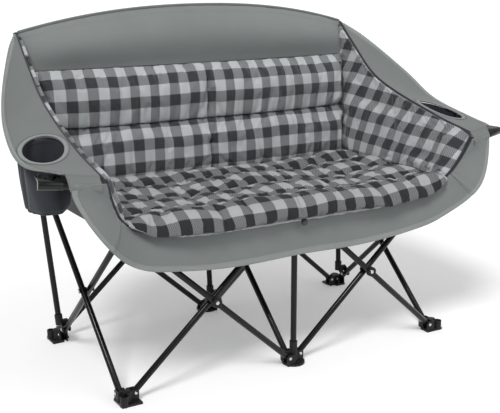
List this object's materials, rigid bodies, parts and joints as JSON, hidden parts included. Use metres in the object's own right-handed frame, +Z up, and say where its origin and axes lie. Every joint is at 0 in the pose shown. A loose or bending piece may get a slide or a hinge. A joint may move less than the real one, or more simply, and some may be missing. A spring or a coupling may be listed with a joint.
{
  "type": "folding camping loveseat",
  "caption": "Two-seat folding camping chair: steel scissor frame in two bays, padded checked seat, back and wings, flared arms with cup pouches and stemmed-glass clips.",
  "frame": {"origin": "on the floor under the middle of the open loveseat's whole box", "axes": "+X to the right in the front view, along the seat's length; +Y from the front to the back; +Z up"},
  "size_m": [1.3666, 0.6488, 0.9186],
  "materials": {
    "tube_steel": "gloss black powder coat",
    "moulding": "satin black moulded plastic",
    "clip_moulding": "glossy black moulded plastic",
    "grey_cloth": "plain woven grey cloth",
    "check_cloth": "padded grey, white and charcoal buffalo check",
    "charcoal_cloth": "charcoal woven cloth",
    "batten_rod": "grey flexible rod",
    "snap_metal": "black dome snap"
  },
  "bodies": {
    "front_middle": {"front_middle_top_hub": "moulding", "front_middle_post": "tube_steel", "front_apron": "grey_cloth"},
    "front_right_falling": {"front_right_falling_tube": "tube_steel", "front_right_cross_pivot": "moulding"},
    "front_right_rising": {"front_right_rising_tube": "tube_steel"},
    "front_right_corner": {"front_right_top_hub": "moulding", "right_arm_post": "tube_steel", "right_stem_clip": "clip_moulding", "right_cup_pouch": "charcoal_cloth", "right_wing_shell": "grey_cloth", "right_wing_pad": "check_cloth", "right_arm_band": "grey_cloth"},
    "front_right_foot": {"front_right_foot": "moulding"},
    "front_middle_foot": {"front_middle_foot": "moulding"},
    "front_left_rising": {"front_left_rising_tube": "tube_steel"},
    "front_left_falling": {"front_left_falling_tube": "tube_steel", "front_left_cross_pivot": "moulding"},
    "front_left_corner": {"front_left_top_hub": "moulding", "left_arm_post": "tube_steel", "left_stem_clip": "clip_moulding", "left_cup_pouch": "charcoal_cloth", "left_wing_shell": "grey_cloth", "left_wing_pad": "check_cloth", "left_arm_band": "grey_cloth"},
    "front_left_foot": {"front_left_foot": "moulding"},
    "middle_side_falling": {"middle_side_falling_tube": "tube_steel", "middle_side_cross_pivot": "moulding"},
    "middle_side_rising": {"middle_side_rising_tube": "tube_steel"},
    "rear_middle_hub": {"rear_middle_top_hub": "moulding"},
    "rear_middle_foot": {"rear_middle_foot": "moulding"},
    "rear_middle_post": {"rear_middle_post": "tube_steel", "rear_middle_post_joint": "moulding", "back_panel": "grey_cloth", "back_pad": "check_cloth", "top_batten": "batten_rod"},
    "right_side_falling": {"right_side_falling_tube": "tube_steel", "right_side_cross_pivot": "moulding"},
    "right_side_rising": {"right_side_rising_tube": "tube_steel"},
    "rear_right_hub": {"rear_right_top_hub": "moulding"},
    "rear_right_foot": {"rear_right_foot": "moulding"},
    "rear_right_post": {"rear_right_post": "tube_steel", "rear_right_post_joint": "moulding"},
    "left_side_falling": {"left_side_falling_tube": "tube_steel", "left_side_cross_pivot": "moulding"},
    "left_side_rising": {"left_side_rising_tube": "tube_steel"},
    "rear_left_hub": {"rear_left_top_hub": "moulding"},
    "rear_left_foot": {"rear_left_foot": "moulding"},
    "rear_left_post": {"rear_left_post": "tube_steel", "rear_left_post_joint": "moulding"},
    "rear_right_falling": {"rear_right_falling_tube": "tube_steel", "rear_right_cross_pivot": "moulding"},
    "rear_right_rising": {"rear_right_rising_tube": "tube_steel"},
    "rear_left_rising": {"rear_left_rising_tube": "tube_steel"},
    "rear_left_falling": {"rear_left_falling_tube": "tube_steel", "rear_left_cross_pivot": "moulding"},
    "seat": {"seat_sling": "grey_cloth", "seat_pad": "check_cloth", "seat_snap": "snap_metal"}
  },
  "joints": [
    {"name": "fold", "type": "hinge", "parent": "front_middle", "child": "front_right_falling", "pos_m": [0.022, -0.24576, 0.414], "axis": [0, 1, 0], "range_deg": [0, 40], "deforming": ["seat_sling", "seat_pad", "front_apron", "back_panel", "back_pad", "top_batten", "left_wing_shell", "left_wing_pad", "right_wing_shell", "right_wing_pad", "left_arm_band", "right_arm_band"]},
    {"name": "front_right_cross", "type": "hinge", "parent": "front_right_falling", "child": "front_right_rising", "pos_m": [0.24, -0.23676, 0.218], "axis": [0, 1, 0], "range_deg": [-80.5, 0]},
    {"name": "front_right_hub_level", "type": "hinge", "parent": "front_right_rising", "child": "front_right_corner", "pos_m": [0.458, -0.22776, 0.414], "axis": [0, 1, 0], "range_deg": [0, 40.5]},
    {"name": "front_right_foot_level", "type": "hinge", "parent": "front_right_falling", "child": "front_right_foot", "pos_m": [0.458, -0.24576, 0.022], "axis": [0, 1, 0], "range_deg": [-40.5, 0]},
    {"name": "front_middle_foot_level", "type": "hinge", "parent": "front_right_rising", "child": "front_middle_foot", "pos_m": [0.022, -0.22776, 0.022], "axis": [0, 1, 0], "range_deg": [0, 40.5]},
    {"name": "front_left_hang", "type": "hinge", "parent": "front_middle", "child": "front_left_rising", "pos_m": [-0.022, -0.22776, 0.414], "axis": [0, 1, 0], "range_deg": [-40.5, 0]},
    {"name": "front_left_cross", "type": "hinge", "parent": "front_left_rising", "child": "front_left_falling", "pos_m": [-0.24, -0.23676, 0.218], "axis": [0, 1, 0], "range_deg": [0, 80.5]},
    {"name": "front_left_hub_level", "type": "hinge", "parent": "front_left_falling", "child": "front_left_corner", "pos_m": [-0.458, -0.24576, 0.414], "axis": [0, 1, 0], "range_deg": [-40.5, 0]},
    {"name": "front_left_foot_level", "type": "hinge", "parent": "front_left_rising", "child": "front_left_foot", "pos_m": [-0.458, -0.22776, 0.022], "axis": [0, 1, 0], "range_deg": [0, 40.5]},
    {"name": "middle_side_hang", "type": "hinge", "parent": "front_middle", "child": "middle_side_falling", "pos_m": [0.009, -0.21476, 0.414], "axis": [1, 0, 0], "range_deg": [-40.5, 0]},
    {"name": "middle_side_cross", "type": "hinge", "parent": "middle_side_falling", "child": "middle_side_rising", "pos_m": [0, 0.00324, 0.218], "axis": [1, 0, 0], "range_deg": [0, 80.5]},
    {"name": "rear_middle_hub_level", "type": "hinge", "parent": "middle_side_rising", "child": "rear_middle_hub", "pos_m": [-0.009, 0.22124, 0.414], "axis": [1, 0, 0], "range_deg": [-40.5, 0]},
    {"name": "rear_middle_foot_level", "type": "hinge", "parent": "middle_side_falling", "child": "rear_middle_foot", "pos_m": [0.009, 0.22124, 0.022], "axis": [1, 0, 0], "range_deg": [0, 40.5]},
    {"name": "rear_middle_post_lean", "type": "hinge", "parent": "middle_side_falling", "child": "rear_middle_post", "pos_m": [0.009, 0.19446, 0.04607], "axis": [1, 0, 0], "range_deg": [0, 44.61]},
    {"name": "right_side_hang", "type": "hinge", "parent": "front_right_corner", "child": "right_side_falling", "pos_m": [0.489, -0.21476, 0.414], "axis": [1, 0, 0], "range_deg": [-40.5, 0]},
    {"name": "right_side_cross", "type": "hinge", "parent": "right_side_falling", "child": "right_side_rising", "pos_m": [0.48, 0.00324, 0.218], "axis": [1, 0, 0], "range_deg": [0, 80.5]},
    {"name": "rear_right_hub_level", "type": "hinge", "parent": "right_side_rising", "child": "rear_right_hub", "pos_m": [0.471, 0.22124, 0.414], "axis": [1, 0, 0], "range_deg": [-40.5, 0]},
    {"name": "rear_right_foot_level", "type": "hinge", "parent": "right_side_falling", "child": "rear_right_foot", "pos_m": [0.489, 0.22124, 0.022], "axis": [1, 0, 0], "range_deg": [0, 40.5]},
    {"name": "rear_right_post_lean", "type": "hinge", "parent": "right_side_falling", "child": "rear_right_post", "pos_m": [0.489, 0.19446, 0.04607], "axis": [0.9996, -0.0275, 0], "range_deg": [0, 45.42]},
    {"name": "left_side_hang", "type": "hinge", "parent": "front_left_corner", "child": "left_side_falling", "pos_m": [-0.471, -0.21476, 0.414], "axis": [1, 0, 0], "range_deg": [-40.5, 0]},
    {"name": "left_side_cross", "type": "hinge", "parent": "left_side_falling", "child": "left_side_rising", "pos_m": [-0.48, 0.00324, 0.218], "axis": [1, 0, 0], "range_deg": [0, 80.5]},
    {"name": "rear_left_hub_level", "type": "hinge", "parent": "left_side_rising", "child": "rear_left_hub", "pos_m": [-0.489, 0.22124, 0.414], "axis": [1, 0, 0], "range_deg": [-40.5, 0]},
    {"name": "rear_left_foot_level", "type": "hinge", "parent": "left_side_falling", "child": "rear_left_foot", "pos_m": [-0.471, 0.22124, 0.022], "axis": [1, 0, 0], "range_deg": [0, 40.5]},
    {"name": "rear_left_post_lean", "type": "hinge", "parent": "left_side_falling", "child": "rear_left_post", "pos_m": [-0.471, 0.19446, 0.04607], "axis": [0.9996, 0.0275, 0], "range_deg": [0, 45.43]},
    {"name": "rear_right_hang", "type": "hinge", "parent": "rear_middle_hub", "child": "rear_right_falling", "pos_m": [0.022, 0.23424, 0.414], "axis": [0, 1, 0], "range_deg": [0, 40.5]},
    {"name": "rear_right_cross", "type": "hinge", "parent": "rear_right_falling", "child": "rear_right_rising", "pos_m": [0.24, 0.24324, 0.218], "axis": [0, 1, 0], "range_deg": [-80.5, 0]},
    {"name": "rear_left_hang", "type": "hinge", "parent": "rear_middle_hub", "child": "rear_left_rising", "pos_m": [-0.022, 0.25224, 0.414], "axis": [0, 1, 0], "range_deg": [-40.5, 0]},
    {"name": "rear_left_cross", "type": "hinge", "parent": "rear_left_rising", "child": "rear_left_falling", "pos_m": [-0.24, 0.24324, 0.218], "axis": [0, 1, 0], "range_deg": [0, 80.5]},
    {"name": "seat_drop", "type": "hinge", "parent": "front_middle", "child": "seat", "pos_m": [0, -0.25476, 0.426], "axis": [1, 0, 0], "range_deg": [-80.5, 0]}
  ],
  "couplings": [
    {"joint": "front_right_cross", "follows": "fold", "ratio": -2},
    {"joint": "front_right_hub_level", "follows": "fold", "ratio": 1},
    {"joint": "front_right_foot_level", "follows": "fold", "ratio": -1},
    {"joint": "front_middle_foot_level", "follows": "fold", "ratio": 1},
    {"joint": "front_left_hang", "follows": "fold", "ratio": -1},
    {"joint": "front_left_cross", "follows": "fold", "ratio": 2},
    {"joint": "front_left_hub_level", "follows": "fold", "ratio": -1},
    {"joint": "front_left_foot_level", "follows": "fold", "ratio": 1},
    {"joint": "middle_side_hang", "follows": "fold", "ratio": -1},
    {"joint": "middle_side_cross", "follows": "fold", "ratio": 2},
    {"joint": "rear_middle_hub_level", "follows": "fold", "ratio": -1},
    {"joint": "rear_middle_foot_level", "follows": "fold", "ratio": 1},
    {"joint": "rear_middle_post_lean", "follows": "fold", "ratio": 1.1028},
    {"joint": "right_side_hang", "follows": "fold", "ratio": -1},
    {"joint": "right_side_cross", "follows": "fold", "ratio": 2},
    {"joint": "rear_right_hub_level", "follows": "fold", "ratio": -1},
    {"joint": "rear_right_foot_level", "follows": "fold", "ratio": 1},
    {"joint": "rear_right_post_lean", "follows": "fold", "ratio": 1.1231},
    {"joint": "left_side_hang", "follows": "fold", "ratio": -1},
    {"joint": "left_side_cross", "follows": "fold", "ratio": 2},
    {"joint": "rear_left_hub_level", "follows": "fold", "ratio": -1},
    {"joint": "rear_left_foot_level", "follows": "fold", "ratio": 1},
    {"joint": "rear_left_post_lean", "follows": "fold", "ratio": 1.1233},
    {"joint": "rear_right_hang", "follows": "fold", "ratio": 1},
    {"joint": "rear_right_cross", "follows": "fold", "ratio": -2},
    {"joint": "rear_left_hang", "follows": "fold", "ratio": -1},
    {"joint": "rear_left_cross", "follows": "fold", "ratio": 2},
    {"joint": "seat_drop", "follows": "fold", "ratio": -2}
  ]
}
